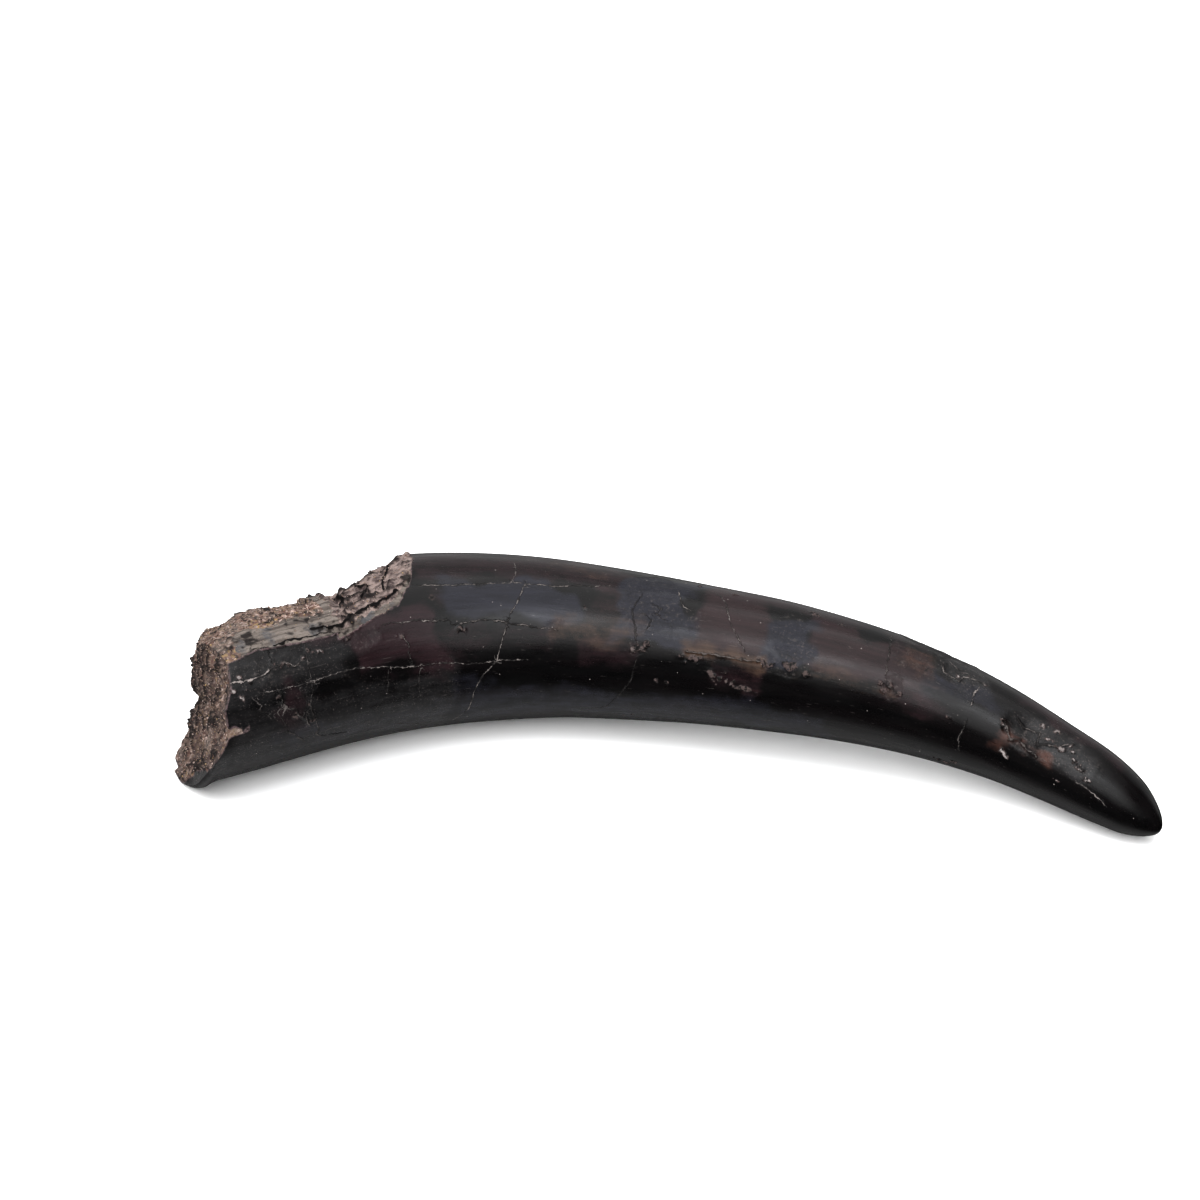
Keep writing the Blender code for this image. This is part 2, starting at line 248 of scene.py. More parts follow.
def shaftRadius(along):
    intoTip = np.clip((along - tusk["length"] + tusk["tipRound"]) / tusk["tipRound"], 0, 1)
    return alongAxis(2, along) * np.sqrt(1 - intoTip**2)


def placeOn(along, angle, radius):
    # a point at this distance from the axis, in mm
    heading = np.interp(along, walk, walkHeading)
    turn = np.radians(angle)
    sideways = tusk["sectionWidth"] * radius * np.cos(turn)
    middle = alongAxis(3, along) + alongAxis(2, along) * tusk["sectionHeight"]
    x = np.interp(along, walk, walkX) + sideways * np.sin(heading)
    y = np.interp(along, walk, walkY) - sideways * np.cos(heading)
    return np.stack([x, y, middle + tusk["sectionHeight"] * radius * np.sin(turn)], axis=1)


def breakEdges(along):
    places = column(tusk["breakTop"], 0)
    return (np.interp(along, places, column(tusk["breakTop"], 1)),
            np.interp(along, places, column(tusk["breakTop"], 2)),
            np.interp(along, places, column(tusk["breakTop"], 3)))


def breakShare(along, angle):
    # 0 on the worn skin, 1 along the crest of the broken top
    frontEdge, depth, backEdge = breakEdges(along)
    front = (angle - frontEdge) / (tusk["crest"] - frontEdge)
    back = (angle - tusk["crest"]) / (backEdge - tusk["crest"])
    frontShare = np.interp(front, column(tusk["breakFront"], 0), column(tusk["breakFront"], 1))
    backShare = np.interp(back, column(tusk["breakBack"], 0), column(tusk["breakBack"], 1))
    share = np.where(angle < tusk["crest"], frontShare, backShare)
    return np.where(along < tusk["breakTop"][-1][0], share, 0)


def breakInset(along, angle):
    # mm inside the edge of the broken top, negative on the skin round it
    frontEdge, depth, backEdge = breakEdges(along)
    reach = np.radians(np.minimum(angle - frontEdge, backEdge - angle)) * tusk["rootRadius"]
    return np.minimum(reach, tusk["breakTop"][-1][0] - along)


def reachTo(along, angle, radius, place, turn, halfLength, halfWidth):
    # 0 at the middle of an oval on the skin, 1 at its rim
    across = np.radians((angle - turn + 180) % 360 - 180) * radius
    return np.sqrt(((along - place) / halfLength) ** 2 + (across / halfWidth) ** 2)


def scarDepth(along, angle, radius):
    depth = np.zeros(len(along))
    for place, turn, halfLength, halfWidth, deepest in tusk["scars"]:
        reach = reachTo(along, angle, radius, place, turn, halfLength, halfWidth)
        depth += deepest * np.clip(1 - reach**2, 0, 1)
    return depth


def noiseAt(points, size):
    return np.array([noise.noise(Vector(point)) for point in points / size])


def cellsAt(points, size):
    # distance to the nearest two cell middles
    near = [noise.voronoi(Vector(point))[0] for point in points / size]
    return np.array([d[0] for d in near]), np.array([d[1] for d in near])


def blocksAt(points, size):
    # height of tilted flat blocks, so the surface breaks into small faces with steps between them
    heights = []
    for point in points / size:
        spot = Vector(point)
        middle = noise.voronoi(spot)[1][0]
        tilt = noise.noise_vector(middle * 3.1)
        heights.append((spot - middle).dot(tilt) + 0.6 * noise.noise(middle * 5.7))
    return np.array(heights)


def rootStart(angle):
    places, starts = column(tusk["rootEnd"], 0), column(tusk["rootEnd"], 1)
    return np.interp((angle + 75) % 360 - 75, places, starts, period=360)


def unfold(run, turn):
    # run is mm from the broken rim, or -1 to 0 over the end face; turn is a direction round the section
    angle = (np.degrees(np.arctan2(turn[:, 1], turn[:, 0])) + 90) % 360 - 90
    share = np.clip(1 + run, 0, 1)
    start = rootStart(angle)
    foot = np.interp(angle, column(tusk["rootFoot"], 0), column(tusk["rootFoot"], 1))
    rise = share**1.5 * (1 - foot) + np.minimum(share / tusk["footInner"], 1) ** 1.5 * foot
    onFace = tusk["rootMiddle"] + (start - tusk["rootMiddle"]) * rise
    onShaft = run + np.clip(1 - run / tusk["rootBlend"], 0, 1) * start
    return np.where(run < 0, onFace, onShaft), angle, share


def plainSkin(along, angle, share):
    # the same form as the solid, before the fine relief
    radius = shaftRadius(along)
    broken = breakShare(along, angle)
    radius = radius - broken * breakEdges(along)[1] - scarDepth(along, angle, radius)
    plain = placeOn(along, angle, radius * share)
    swellSize, swellHeight = tusk["swell"]
    change = swellHeight * noiseAt(plain, swellSize)
    rough = np.clip(broken / 0.35, 0, 1) * share
    near = along < 100
    for size, height in tusk["breakLumps"]:
        bump = np.zeros(len(along))
        bump[near] = noiseAt(plain[near], size)
        change = change + rough * height * bump
    inTip = np.clip((tusk["length"] - along) / tusk["tipRound"], 0, 1)
    return placeOn(along, angle, (radius + change * inTip) * share)


def sideOfLine(along, angle, radius, points):
    # mm from a crack's line, positive on one side of it and negative on the other
    best = np.full(len(along), 1e3)
    for (placeA, turnA), (placeB, turnB) in zip(points[:-1], points[1:]):
        scale = radius * math.pi / 180
        dx, dy = placeB - placeA, (turnB - turnA) * scale
        px, py = along - placeA, ((angle - turnA + 180) % 360 - 180) * scale
        t = np.clip((px * dx + py * dy) / (dx * dx + dy * dy), 0, 1)
        gap = np.hypot(px - t * dx, py - t * dy) * np.where(dx * py < dy * px, -1, 1)
        best = np.where(np.abs(gap) < np.abs(best), gap, best)
    return best


def beside(along, points, reach):
    ends = column(points, 0)
    return (along > min(ends) - reach) & (along < max(ends) + reach)


# Length of the mesh edges, in mm
meshEdges = {
    "shaft": 2.6,
    "nearTip": 1.8,
    "tipFrom": 300,
    "broken": 0.66,
    "scar": 0.85,
    "chip": 0.5,
    "gap": 0.5,
    "wideCrack": 0.45,
    "fineCrack": 1.0,
}
# a crack at least this wide is cut into the mesh, in mm
wideCrack = 0.4


def wantedEdge(along, angle, run):
    # how long a mesh edge may be here
    radius = shaftRadius(along)
    size = np.where(along > meshEdges["tipFrom"], meshEdges["nearTip"], meshEdges["shaft"])
    inset = breakInset(along, angle)
    broken = (inset > np.where(along > 50, -3.6, -1.2)) | (run < 1.2)
    size = np.where(broken, np.minimum(size, meshEdges["broken"]), size)
    lines = [(points, meshEdges["fineCrack"] if width < wideCrack else meshEdges["wideCrack"])
             for points, width, depth, pale in cracks]
    lines += [(points, meshEdges["gap"]) for points, width, depth in gaps]
    for points, fine in lines:
        near = beside(along, points, 3)
        gap = np.abs(sideOfLine(along[near], angle[near], radius[near], points))
        wanted = np.minimum(size[near], fine + 0.5 * np.clip(gap - 0.7, 0, 2))
        size[near] = np.where(gap < 1.6, wanted, size[near])
    for place, turn, reach, depth, pale in chips:
        gap = reachTo(along, angle, radius, place, turn, reach * 1.5, reach * 1.5)
        size = np.where(gap < 1, np.minimum(size, meshEdges["chip"]), size)
    for place, turn, halfLength, halfWidth, deepest in tusk["scars"] + roughSpots:
        gap = reachTo(along, angle, radius, place, turn, halfLength * 1.2, halfWidth * 1.2)
        size = np.where(gap < 1, np.minimum(size, meshEdges["scar"]), size)
    return size


def startGrid(columns, spacing):
    # rings from the middle of the end face to the tip, as (run, turn), and triangles whose first
    # corner is the newest
    runs = list(np.linspace(-1, 0, 7)[1:]) + list(np.arange(spacing, tusk["length"] - 3, spacing))
    angle = np.radians(np.arange(columns) * 360 / columns)
    ring = np.stack([np.cos(angle), np.sin(angle)], axis=1)
    run = np.concatenate([np.full(columns, r) for r in runs] + [[-1.0, tusk["length"]]])
    turn = np.concatenate([ring] * len(runs) + [np.zeros((2, 2))])
    tris = []
    for k in range(len(runs) - 1):
        for i in range(columns):
            a, b = k * columns + i, k * columns + (i + 1) % columns
            c, d = b + columns, a + columns
            tris += [(b, c, a), (d, a, c)]
    last = (len(runs) - 1) * columns
    for i in range(columns):
        j = (i + 1) % columns
        tris += [(len(run) - 2, j, i), (len(run) - 1, last + i, last + j)]
    return run, turn, np.array(tris)


def halve(run, turn, tris, marked):
    # split every marked triangle across its base, from corner 1 to 2, and whatever keeps the mesh whole
    count = len(run)

    def key(a, b):
        return np.minimum(a, b) * count + np.maximum(a, b)

    base, left, right = key(tris[:, 1], tris[:, 2]), key(tris[:, 0], tris[:, 1]), key(tris[:, 2], tris[:, 0])
    edges, where = np.unique(np.concatenate([base, left, right]), return_inverse=True)
    base, left, right = where.reshape(3, -1)
    cut = np.zeros(len(edges), bool)
    cut[base[marked]] = True
    while True:
        more = (cut[left] | cut[right]) & ~cut[base]
        if not more.any():
            break
        cut[base[more]] = True
    index = np.full(len(edges), -1)
    index[cut] = count + np.arange(cut.sum())
    a, b = edges[cut] // count, edges[cut] % count
    newTurn = turn[a] + turn[b]
    newTurn /= np.maximum(np.linalg.norm(newTurn, axis=1, keepdims=True), 1e-9)
    run = np.concatenate([run, (run[a] + run[b]) / 2])
    turn = np.concatenate([turn, newTurn])
    whole = tris[~cut[base]]
    split = cut[base]
    t, m = tris[split], index[base[split]]
    pairs = [(np.stack([m, t[:, 0], t[:, 1]], 1), index[left[split]]),
             (np.stack([m, t[:, 2], t[:, 0]], 1), index[right[split]])]
    made = [whole]
    for half, mid in pairs:
        made.append(half[mid < 0])
        deep, n = half[mid >= 0], mid[mid >= 0]
        made.append(np.stack([n, deep[:, 0], deep[:, 1]], 1))
        made.append(np.stack([n, deep[:, 2], deep[:, 0]], 1))
    return run, turn, np.concatenate(made)


def refineSkin(rounds):
    run, turn, tris = startGrid(36, 6.0)
    for step in range(rounds):
        along, angle, share = unfold(run, turn)
        spots = placeOn(along, angle, shaftRadius(along) * share)
        length = np.linalg.norm(spots[tris[:, 1]] - spots[tris[:, 2]], axis=1)
        midRun = (run[tris[:, 1]] + run[tris[:, 2]]) / 2
        midAlong, midAngle, midShare = unfold(midRun, turn[tris[:, 1]] + turn[tris[:, 2]])
        marked = length > wantedEdge(midAlong, midAngle, midRun) * 1.35
        if not marked.any():
            break
        run, turn, tris = halve(run, turn, tris, marked)
    return run, turn, tris


def vertexNormals(points, tris):
    a, b, c = points[tris[:, 0]], points[tris[:, 1]], points[tris[:, 2]]
    face = np.cross(b - a, c - a)
    total = np.zeros_like(points)
    for corner in range(3):
        np.add.at(total, tris[:, corner], face)
    return total / np.maximum(np.linalg.norm(total, axis=1, keepdims=True), 1e-9)


def eased(values, tris, share):
    # part of the way to the mean of the neighbours
    total, count = np.zeros(len(values)), np.zeros(len(values))
    for a, b in ((0, 1), (1, 2), (2, 0)):
        for i, j in ((a, b), (b, a)):
            np.add.at(total, tris[:, i], values[tris[:, j]])
            np.add.at(count, tris[:, i], 1)
    return values * (1 - share) + share * total / np.maximum(count, 1)


# The broken ground: where each kind of it lies and how rough it is, in mm and degrees
ground = {
    # the rock begins here along the root, the layered strip below it there
    "rockFrom": (54, 58),
    "stripFrom": (14, 20),
    "stripShare": (0.34, 0.27),
    # a ledge of bare layers under the rock's edge, and a spur of matrix that runs into the skin
    "ledge": (53, 90),
    "ledgeWidth": 2.6,
    "spur": [(0, 3), (13.5, 2)],
    "spurEnd": 15,
    # a slab stands up along the crest
    "slabAlong": (36, 51),
    "slabHeight": 1.7,
    # sizes of the forms that the ground breaks into
    "bigBlocks": 6.5,
    "blocks": 3.1,
    "crumbs": 1.6,
    "slabs": 5.2,
    "crevices": 7.5,
    "hollows": 4.4,
    "pits": 1.9,
    "layers": 2.9,
    # heights of big blocks, slabs and blocks, then depths of hollows, pits and crevices
    "matrixRelief": (0.28, 0.0, 0.34, 1.5, 1.2, 0.7),
    "faceRelief": (0.7, 1.1, 0.7, 3.0, 1.8, 1.6),
    "rockRelief": (1.0, 0.0, 0.5, 3.0, 1.6, 1.6),
    # how far the corner under the end face is worn down, on the face and on the shaft
    "wornFace": 3.0,
    "wornShaft": 1.4,
}


def readSurface(run, turn):
    # what the relief and the colours need to know about each corner of the mesh
    along, angle, share = unfold(run, turn)
    points = plainSkin(along, angle, share)
    at = SimpleNamespace(run=run, along=along, angle=angle, share=share, points=points)
    at.onFace = run < 0
    at.radius = shaftRadius(along)
    at.wide, at.small, at.tiny = noiseAt(points, 7.0), noiseAt(points, 2.2), noiseAt(points, 0.9)
    at.broad = noiseAt(points, 19.0)
    at.jitter = 0.5 * at.small + 0.9 * at.wide
    return at


def brokenEdge(at):
    # mm inside the edge of the broken surface, negative on the skin
    straightEdge = smoothStep(12, 16, at.along) * smoothStep(60, 56, at.along)
    waves = 1.6 * at.wide + 0.9 * at.small
    inset = breakInset(at.along, at.angle) + (1 - 0.8 * straightEdge) * waves + 0.15 * at.tiny
    start, end = ground["ledge"]
    ledge = np.minimum(inset + ground["ledgeWidth"], np.minimum(at.along - start, end - at.along) * 0.6)
    rootRadius = tusk["rootRadius"]
    thick = np.full(len(at.run), rootRadius)
    fromSpur = sideOfLine(at.along, at.angle + 2 * at.small, thick, ground["spur"])
    spur = np.clip(0.2 * (ground["spurEnd"] - at.along), -3, 2.2) - np.abs(fromSpur)
    rim = -at.run + 0.5 * at.wide - 4 * smoothStep(-16, -30, at.angle)
    onShaft = np.maximum(np.maximum(inset, spur), rim)
    # the skin wraps round the worn corner under the end face
    toFront, up = at.share * np.cos(np.radians(at.angle)), at.share * np.sin(np.radians(at.angle))
    worn = -0.37 - 0.82 * (0.93 - toFront) - up + 0.10 * at.wide + 0.05 * at.small
    fromRim = (1 - at.share) * rootRadius - 0.6 + at.wide
    onEnd = np.minimum(fromRim, np.where(at.angle < 20, -rootRadius * worn, 40))
    return np.where(at.onFace, onEnd, onShaft), inset, ledge


def brokenParts(at):
    # where the skin is lost, and how much rock or layered strip shows there
    edge, inset, ledge = brokenEdge(at)
    edge = np.where(at.onFace, edge, np.maximum(edge, ledge))
    broken = smoothStep(-0.3, 0.3, edge)
    rock = smoothStep(*ground["rockFrom"], at.along + 2.5 * at.jitter) * smoothStep(-0.4, 0.4, inset)
    rock = rock * ~at.onFace
    frontEdge = breakEdges(at.along)[0]
    front = (at.angle - frontEdge) / (tusk["crest"] - frontEdge)
    band = smoothStep(*ground["stripShare"], front + 0.08 * at.jitter)
    band = band * smoothStep(*ground["stripFrom"], at.along + 3 * at.jitter) * (inset > -0.4) * (1 - rock)
    strip = np.where(at.onFace, 0, np.maximum(band, smoothStep(-0.4, 0.4, ledge) * (1 - rock)))
    return edge, broken, rock, strip


def groundForms(here, wide, small):
    # blocks, crevices, hollows and pits at these points
    forms = SimpleNamespace()
    forms.big = blocksAt(here, ground["bigBlocks"])
    forms.blocks = blocksAt(here, ground["blocks"])
    forms.crumbs = blocksAt(here, ground["crumbs"])
    forms.slabs = blocksAt(here * (0.7, 1, 1.5) + 30, ground["slabs"])
    bent = here + 1.6 * np.stack([wide, small, -wide], axis=1)
    nearest, second = cellsAt(bent * (1, 1, 1.4), ground["crevices"])
    opened = smoothStep(-0.15, 0.15, noiseAt(here + 80, 9.0))
    forms.crevice = smoothStep(0.13, 0.0, second - nearest) * opened
    forms.hollow = np.clip(-noiseAt(here + 11, ground["hollows"]) - 0.28, 0, 1)
    forms.pits = np.clip(-noiseAt(here + 50, ground["pits"]) - 0.24, 0, 1)
    return forms


def formHeight(forms, kind, crumbled):
    big, slabs, blocks, hollow, pits, crevice = ground[kind]
    raised = big * forms.big + slabs * forms.slabs + blocks * forms.blocks + crumbled
    return raised - hollow * forms.hollow - pits * forms.pits - crevice * forms.crevice


def groundRelief(at, broken, rock, strip):
    # mm out of the plain surface, the place within a layer, and how far down a hollow the corner lies, which
    # sets the painted shade there
    relief, leaf, hollowShade = np.zeros(len(at.run)), np.zeros(len(at.run)), np.zeros(len(at.run))
    near = broken > 0
    here, onFace, small, tiny = at.points[near], at.onFace[near], at.small[near], at.tiny[near]
    forms = groundForms(here, at.wide[near], small)
    crumbled = 0.16 * tiny + 0.26 * forms.crumbs
    kinds = ("faceRelief", "matrixRelief", "rockRelief")
    face, grit, craggy = (formHeight(forms, kind, crumbled) for kind in kinds)
    rough = np.where(onFace, face, grit)
    layer = np.radians(at.angle[near]) * 30 + 0.06 * at.along[near] + 1.1 * noiseAt(here * (0.22, 1, 1), 5.0)
    leaf[near] = (layer / ground["layers"]) % 1
    sheets = 0.32 * leaf[near] - 0.3 + 0.16 * forms.blocks + 0.08 * tiny - 0.8 * forms.pits * (small > 0)
    matrix = broken * (1 - rock) * (1 - strip)
    relief[near] = matrix[near] * rough + rock[near] * craggy + strip[near] * sheets
    relief *= np.where(at.onFace, np.clip((1 - at.share) / 0.1, 0.35, 1), 1)
    sunk = 2.2 * forms.hollow + 1.5 * forms.pits + forms.crevice * (0.5 + 0.5 * (rock[near] + onFace))
    hollowShade[near] = np.clip(sunk - 0.3 * np.where(onFace, forms.slabs, forms.blocks), 0, 1.5)
    return relief, leaf, hollowShade


def standingSlab(at):
    # its edge is straight and rises towards the shaft
    start, end = ground["slabAlong"]
    slab = smoothStep(90, 98, at.angle + 4 * at.small) * smoothStep(140, 130, at.angle)
    slab = slab * (at.along > start) * (at.along < end + 0.8 * at.small)
    return slab * ground["slabHeight"] * np.clip((at.along - start - 1) / 13, 0, 1) * ~at.onFace


def wornCorner(at):
    # the corner under the end face is rounded
    corner = smoothStep(-16, -44, at.angle) * (at.angle > -90)
    onFace = ground["wornFace"] * np.clip((at.share - 0.7) / 0.3, 0, 1) ** 2
    onShaft = ground["wornShaft"] * np.clip(1 - at.run / 6, 0, 1) ** 2
    return corner * np.where(at.onFace, onFace, onShaft)


def cutGaps(at, relief):
    # gives how far the corner is from the nearest gap, in widths of the gap
    groove = np.full(len(at.run), 6.0)
    for line, width, depth in gaps:
        near = beside(at.along, line, 4)
        along, angle = at.along[near] + 0.9 * at.jitter[near], at.angle[near] + 2.2 * at.jitter[near]
        gap = np.abs(sideOfLine(along, angle, at.radius[near], line))
        gap = gap / (width * (1 + 1.2 * at.small[near]))
        relief[near] -= depth * np.sqrt(np.clip(1 - gap, 0, 1))
        groove[near] = np.minimum(groove[near], gap)
    return groove


def cutCracks(at, relief, skin):
    # gives the distance to the nearest crack in mm, its width and its filling
    slit, slitWidth = np.full(len(at.run), 9.0), np.full(len(at.run), 0.2)
    paleness = np.zeros(len(at.run))
    for line, width, depth, pale in cracks:
        near = np.flatnonzero(beside(at.along, line, 4))
        along, angle = at.along[near] + 0.6 * at.jitter[near], at.angle[near] + 1.2 * at.jitter[near]
        gap = sideOfLine(along, angle, at.radius[near], line)
        if width >= wideCrack:
            relief[near] -= depth * np.sqrt(np.clip(1 - np.abs(gap) / (width * 1.2), 0, 1)) * skin[near]
        closest = np.abs(gap) < np.abs(slit[near])
        slit[near[closest]] = gap[closest]
        slitWidth[near[closest]] = width
        paleness[near[closest]] = pale
    return slit, slitWidth, paleness


def cutChips(at, relief, skin):
    chipped = np.zeros(len(at.run))
    for place, turn, reach, depth, pale in chips:
        gap = reachTo(at.along, at.angle, at.radius, place, turn, reach * 1.3, reach * 0.75)
        gap = gap + 1.7 * at.small + 0.9 * at.tiny
        cut = smoothStep(1.0, 0.5, gap) * (np.abs(at.along - place) < 2 * reach)
        relief -= 0.7 * depth * cut * skin
        chipped = np.maximum(chipped, cut * (0.3 + 0.7 * pale))
    return chipped * skin


def roughenScars(at, relief, skin):
    scarred = np.zeros(len(at.run))
    for place, turn, halfLength, halfWidth, deepest in tusk["scars"] + roughSpots:
        gap = reachTo(at.along, at.angle, at.radius, place, turn, halfLength, halfWidth)
        gap = gap + 0.5 * at.wide + 0.35 * at.small
        scarred = np.maximum(scarred, smoothStep(1.08, 0.92, gap) * (0.5 + 0.5 * min(deepest, 1)))
    near = (scarred > 0) & (skin > 0)
    broken = 0.28 * blocksAt(at.points[near], 3.4) + 0.1 * at.small[near] - 0.1
    relief[near] += scarred[near] * broken * skin[near]
    return scarred * skin


def stainMasks(at):
    # strength of each stain, its borders broken up by noise
    masks = {}
    for stain, spots in stains.items():
        amount = np.zeros(len(at.run))
        for start, end, lowAngle, highAngle, strength in spots:
            pastEnds = np.abs(at.along - (start + end) / 2) - (end - start) / 2
            turned = np.abs((at.angle - (lowAngle + highAngle) / 2 + 180) % 360 - 180)
            pastSides = np.radians(turned - (highAngle - lowAngle) / 2) * at.radius
            outside = np.maximum(pastEnds, pastSides) + 4.5 * at.wide + 6.0 * at.broad
            amount = np.maximum(amount, strength * smoothStep(3.5, -3.5, outside))
        masks[stain] = amount
    return masks


def tuskSkin():
    run, turn, tris = refineSkin(14)
    at = readSurface(run, turn)
    print("tusk skin:", len(at.points), "points,", len(tris), "triangles")
    low, high = at.points.min(axis=0), at.points.max(axis=0)
    origin = np.array([(low[0] + high[0]) / 2, (low[1] + high[1]) / 2, low[2]])
    edge, broken, rock, strip = brokenParts(at)
    relief, leaf, hollowShade = groundRelief(at, broken, rock, strip)
    relief = eased(relief, tris, 0.3) + standingSlab(at) - wornCorner(at)
    groove = cutGaps(at, relief)
    skin = 1 - broken
    slit, slitWidth, paleness = cutCracks(at, relief, skin)
    chipped = cutChips(at, relief, skin)
    scarred = roughenScars(at, relief, skin)
    masks = {"edge": np.clip(edge, -6, 6), "rock": rock, "strip": strip, "slit": slit,
             "slitNear": np.abs(slit), "slitWidth": slitWidth, "paleness": paleness, "chipped": chipped,
             "scarred": scarred, "groove": groove, "leaf": leaf, "hollowShade": hollowShade,
             "face": at.onFace.astype(float), **stainMasks(at)}
    inTip = np.clip((tusk["length"] - at.along) / 2, 0, 1)
    points = at.points + vertexNormals(at.points, tris) * (relief * inTip)[:, None]
    turnX, turnZ = np.cos(np.radians(at.angle)), np.sin(np.radians(at.angle))
    reach = at.radius * at.share
    straight = np.stack([at.along, reach * turnX, reach * turnZ], axis=1)
    return points - origin, tris, masks, straight, broken


def meshFrom(name, points, tris):
    mesh = bpy.data.meshes.new(name)
    mesh.vertices.add(len(points))
    mesh.vertices.foreach_set("co", points.astype(np.float32).ravel())
    mesh.loops.add(len(tris) * 3)
    mesh.loops.foreach_set("vertex_index", tris.astype(np.int32).ravel())
    mesh.polygons.add(len(tris))
    mesh.polygons.foreach_set("loop_start", np.arange(len(tris), dtype=np.int32) * 3)
    mesh.update(calc_edges=True)
    mesh.validate()
    return mesh


def addMask(mesh, name, values):
    mesh.attributes.new(name, "FLOAT", "POINT").data.foreach_set("value", values.astype(np.float32))


def addVectors(mesh, name, values):
    vectors = mesh.attributes.new(name, "FLOAT_VECTOR", "POINT")
    vectors.data.foreach_set("vector", values.astype(np.float32).ravel())


class Nodes:
    # a short way to write a node tree
    def __init__(self, name):
        self.material = bpy.data.materials.new(name)
        self.material.use_nodes = True
        self.tree = self.material.node_tree
        self.shader = self.tree.nodes["Principled BSDF"]

    def put(self, socket, value):
        if isinstance(value, bpy.types.NodeSocket):
            self.tree.links.new(value, socket)
        elif isinstance(value, tuple) and len(value) == 3 and len(socket.default_value) == 4:
            socket.default_value = (*value, 1)
        else:
            socket.default_value = value

    def add(self, kind, **settings):
        node = self.tree.nodes.new(kind)
        for key, value in settings.items():
            setattr(node, key, value)
        return node

    def mask(self, name):
        return self.add("ShaderNodeAttribute", attribute_name=name).outputs["Fac"]

    def vector(self, name):
        return self.add("ShaderNodeAttribute", attribute_name=name).outputs["Vector"]

    def scaled(self, vector, scale):
        node = self.add("ShaderNodeVectorMath", operation="MULTIPLY")
        self.put(node.inputs[0], vector)
        node.inputs[1].default_value = scale
        return node.outputs[0]

    def noise(self, vector, scale, detail=4.0, roughness=0.55):
        node = self.add("ShaderNodeTexNoise")
        self.put(node.inputs["Vector"], vector)
        node.inputs["Scale"].default_value = scale
        node.inputs["Detail"].default_value = detail
        node.inputs["Roughness"].default_value = roughness
        return node.outputs["Fac"]

    def cells(self, vector, scale, feature="F1"):
        node = self.add("ShaderNodeTexVoronoi", feature=feature)
        self.put(node.inputs["Vector"], vector)
        node.inputs["Scale"].default_value = scale
        return node

    def ramp(self, value, low, high, outLow=0.0, outHigh=1.0):
        node = self.add("ShaderNodeMapRange", interpolation_type="SMOOTHSTEP")
        self.put(node.inputs["Value"], value)
        for key, number in zip(("From Min", "From Max", "To Min", "To Max"), (low, high, outLow, outHigh)):
            node.inputs[key].default_value = number
        return node.outputs["Result"]

    def math(self, operation, a, b=0.0):
        node = self.add("ShaderNodeMath", operation=operation)
        self.put(node.inputs[0], a)
        self.put(node.inputs[1], b)
        return node.outputs[0]

    def mix(self, amount, a, b):
        node = self.add("ShaderNodeMix", data_type="RGBA")
        self.put(node.inputs[0], amount)
        self.put(node.inputs[6], a)
        self.put(node.inputs[7], b)
        return node.outputs[2]

    def between(self, amount, a, b):
        node = self.add("ShaderNodeMix", data_type="FLOAT")
        self.put(node.inputs[0], amount)
        self.put(node.inputs[2], a)
        self.put(node.inputs[3], b)
        return node.outputs[0]

    def bump(self, height, distance, strength=1.0):
        node = self.add("ShaderNodeBump")
        node.inputs["Strength"].default_value = strength
        node.inputs["Distance"].default_value = distance
        self.put(node.inputs["Height"], height)
        return node.outputs["Normal"]


ivory = {
    "dark": (0.0018, 0.0016, 0.0018),
    "under": (0.0036, 0.0026, 0.0029),
    "brown": (0.021, 0.0115, 0.0125),
    "maroon": (0.019, 0.0095, 0.0115),
    # ochre: a warm stain, and partly painted highlight where it lines the highlight's lower edge
    "ochre": (0.050, 0.030, 0.021),
    "rust": (0.062, 0.029, 0.022),
    "blue": (0.0140, 0.0141, 0.0205),
    "grey": (0.0170, 0.0165, 0.0172),
    "paleFill": (0.22, 0.195, 0.185),
    "speck": (0.10, 0.085, 0.08),
    # painted highlight: a pale line along the skin's broken edge
    "rim": (0.11, 0.078, 0.080),
    "chipFloor": (0.055, 0.040, 0.038),
    "chipPale": (0.20, 0.18, 0.175),
    "crackDarkAndShade": (0.002, 0.0016, 0.0016),
    "roughness": 0.27,
    "specular": 0.22,
    # patterns, in repeats per mm along and across the tusk
    "streaks": (0.012, 0.2, 0.2),
    "brushed": (0.05, 0.35, 0.35),
    "shades": (0.04, 0.45, 0.45),
    "scratches": (0.035, 3.2, 3.2),
    "smears": (0.05, 0.3, 0.3),
    "grain": (0.08, 1.4, 1.4),
    "fleck": 0.7,
    "mottle": 0.22,
    "dust": 1.9,
    "dots": 0.16,
    "crackle": 0.42,
    "pits": 0.5,
    # how far a crack wanders from its line, in mm to both sides
    "wander": 1.7,
}


